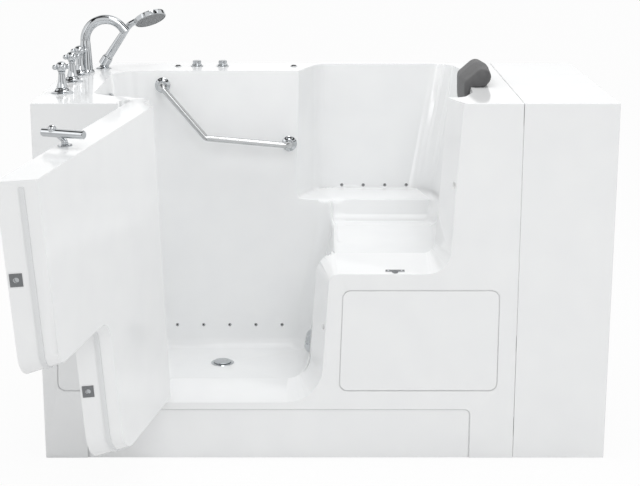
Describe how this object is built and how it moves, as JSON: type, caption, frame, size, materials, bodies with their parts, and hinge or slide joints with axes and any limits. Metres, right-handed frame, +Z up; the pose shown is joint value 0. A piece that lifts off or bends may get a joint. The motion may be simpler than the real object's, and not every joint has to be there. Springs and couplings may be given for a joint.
{
  "type": "walk-in bathtub",
  "caption": "Walk-in soaking tub with an outward-swinging door, a seat, a grab bar, deck taps, a hand shower and a latch lever that draws the door's bolts",
  "frame": {"origin": "Middle of the tub's footprint on the floor, at the underside of the centre levelling foot", "axes": "+X to the seat and extension end, +Y to the wall behind, +Z up; the door opens to -Y"},
  "size_m": [1.524, 1.5945, 1.1584],
  "materials": {
    "acrylic": "high gloss",
    "seal_rubber": "satin",
    "frame_steel": "satin",
    "zinc_steel": "satin",
    "latch_steel": "brushed",
    "chrome": "polished",
    "keeper_plastic": "satin",
    "pillow_foam": "matt skin",
    "spray_face": "satin",
    "button_plastic": "satin",
    "pipe_pvc": "satin",
    "equipment_plastic": "satin",
    "jet_plastic": "satin"
  },
  "bodies": {
    "tub": {"tub_shell": "acrylic", "extension_panel": "acrylic", "right_access_panel": "acrylic", "left_access_panel": "acrylic", "toe_panel": "acrylic", "base_frame": "frame_steel", "levelling_feet": "zinc_steel", "foot_locknuts": "zinc_steel", "equipment_tray": "zinc_steel", "upper_keeper": "keeper_plastic", "lower_keeper": "keeper_plastic", "hinge_brackets": "zinc_steel", "grab_bar": "chrome", "grab_bar_flanges": "chrome", "head_pillow": "pillow_foam", "hot_valve": "chrome", "cold_valve": "chrome", "diverter_valve": "chrome", "spout": "chrome", "shower_holder": "chrome", "air_valve_bodies": "chrome", "button_bezels": "chrome", "drain_strainer": "chrome", "drain_body": "pipe_pvc", "overflow_pipe": "pipe_pvc", "suction_cover": "chrome", "drain_pump": "equipment_plastic", "pump_pipe": "pipe_pvc", "foot_air_jets": "jet_plastic", "seat_air_jets": "jet_plastic", "foot_air_pipe": "pipe_pvc", "seat_air_pipe": "pipe_pvc", "air_blower": "equipment_plastic", "control_box": "equipment_plastic"},
    "door": {"door_outer_panel": "acrylic", "door_inner_panel": "acrylic", "door_seal": "seal_rubber", "door_frame": "frame_steel", "hinge_pins": "zinc_steel", "upper_latch_plate": "latch_steel", "lower_latch_plate": "latch_steel", "lever_collar": "chrome"},
    "lever": {"lever_shaft": "chrome", "lever_bar": "chrome", "lever_ball": "chrome"},
    "upper_bolt": {"upper_bolt": "zinc_steel"},
    "lower_bolt": {"lower_bolt": "zinc_steel"},
    "drive_rod": {"latch_drive_rod": "zinc_steel"},
    "hot_handle": {"hot_handle": "chrome"},
    "cold_handle": {"cold_handle": "chrome"},
    "diverter_handle": {"diverter_handle": "chrome"},
    "hand_shower": {"hand_shower": "chrome", "hand_shower_face": "spray_face"},
    "left_air_knob": {"left_air_knob": "chrome"},
    "right_air_knob": {"right_air_knob": "chrome"},
    "left_button": {"left_button": "button_plastic"},
    "right_button": {"right_button": "button_plastic"},
    "overflow_knob": {"overflow_knob": "chrome"},
    "drain_stopper": {"drain_stopper": "chrome"}
  },
  "joints": [
    {"name": "door_hinge", "type": "hinge", "parent": "tub", "child": "door", "pos_m": [-0.494, -0.377, 0.979], "axis": [0.0349, 0, -0.9994], "range_deg": [-102.5, 17.5]},
    {"name": "latch_lever_turn", "type": "hinge", "parent": "door", "child": "lever", "pos_m": [-0.59734, -0.87396, 0.95765], "axis": [0.0424, 0.0341, -0.9985], "range_deg": [0, 75]},
    {"name": "upper_bolt_slide", "type": "slide", "parent": "door", "child": "upper_bolt", "axis": [-0.215, -0.9757, -0.0424], "range_m": [0, 0.014]},
    {"name": "lower_bolt_slide", "type": "slide", "parent": "door", "child": "lower_bolt", "axis": [-0.215, -0.9757, -0.0424], "range_m": [0, 0.014]},
    {"name": "drive_rod_slide", "type": "slide", "parent": "door", "child": "drive_rod", "axis": [0.0424, 0.0341, -0.9985], "range_m": [0, 0.014]},
    {"name": "hot_handle_turn", "type": "hinge", "parent": "tub", "child": "hot_handle", "pos_m": [-0.706, -0.217, 1.019], "axis": [0, 0, 1], "range_deg": [0, 90]},
    {"name": "cold_handle_turn", "type": "hinge", "parent": "tub", "child": "cold_handle", "pos_m": [-0.711, -0.003, 1.019], "axis": [0, 0, 1], "range_deg": [0, 90]},
    {"name": "diverter_handle_turn", "type": "hinge", "parent": "tub", "child": "diverter_handle", "pos_m": [-0.71, 0.133, 1.019], "axis": [0, 0, 1], "range_deg": [-45, 45]},
    {"name": "hand_shower_lift", "type": "slide", "parent": "tub", "child": "hand_shower", "axis": [0.5592, 0, 0.829], "range_m": [0, 0.08]},
    {"name": "left_air_knob_turn", "type": "hinge", "parent": "tub", "child": "left_air_knob", "pos_m": [-0.383, 0.321, 0.989], "axis": [0, 0, 1], "range_deg": [0, 270]},
    {"name": "right_air_knob_turn", "type": "hinge", "parent": "tub", "child": "right_air_knob", "pos_m": [-0.305, 0.321, 0.989], "axis": [0, 0, 1], "range_deg": [0, 270]},
    {"name": "left_button_press", "type": "slide", "parent": "tub", "child": "left_button", "axis": [0, 0, -1], "range_m": [0, 0.002], "stiffness_N_per_m": 600, "springref_m": -0.001},
    {"name": "right_button_press", "type": "slide", "parent": "tub", "child": "right_button", "axis": [0, 0, -1], "range_m": [0, 0.002], "stiffness_N_per_m": 600, "springref_m": -0.001},
    {"name": "overflow_knob_turn", "type": "hinge", "parent": "tub", "child": "overflow_knob", "pos_m": [-0.61653, 0.045, 0.905], "axis": [0.9973, 0, 0.0737], "range_deg": [0, 90]},
    {"name": "drain_stopper_lift", "type": "slide", "parent": "tub", "child": "drain_stopper", "axis": [0, 0, 1], "range_m": [0, 0.008]}
  ],
  "couplings": [
    {"joint": "upper_bolt_slide", "follows": "latch_lever_turn", "m_per_rad": 0.010695},
    {"joint": "lower_bolt_slide", "follows": "latch_lever_turn", "m_per_rad": 0.010695},
    {"joint": "drive_rod_slide", "follows": "latch_lever_turn", "m_per_rad": 0.010695},
    {"joint": "drain_stopper_lift", "follows": "overflow_knob_turn", "m_per_rad": 0.005093}
  ]
}
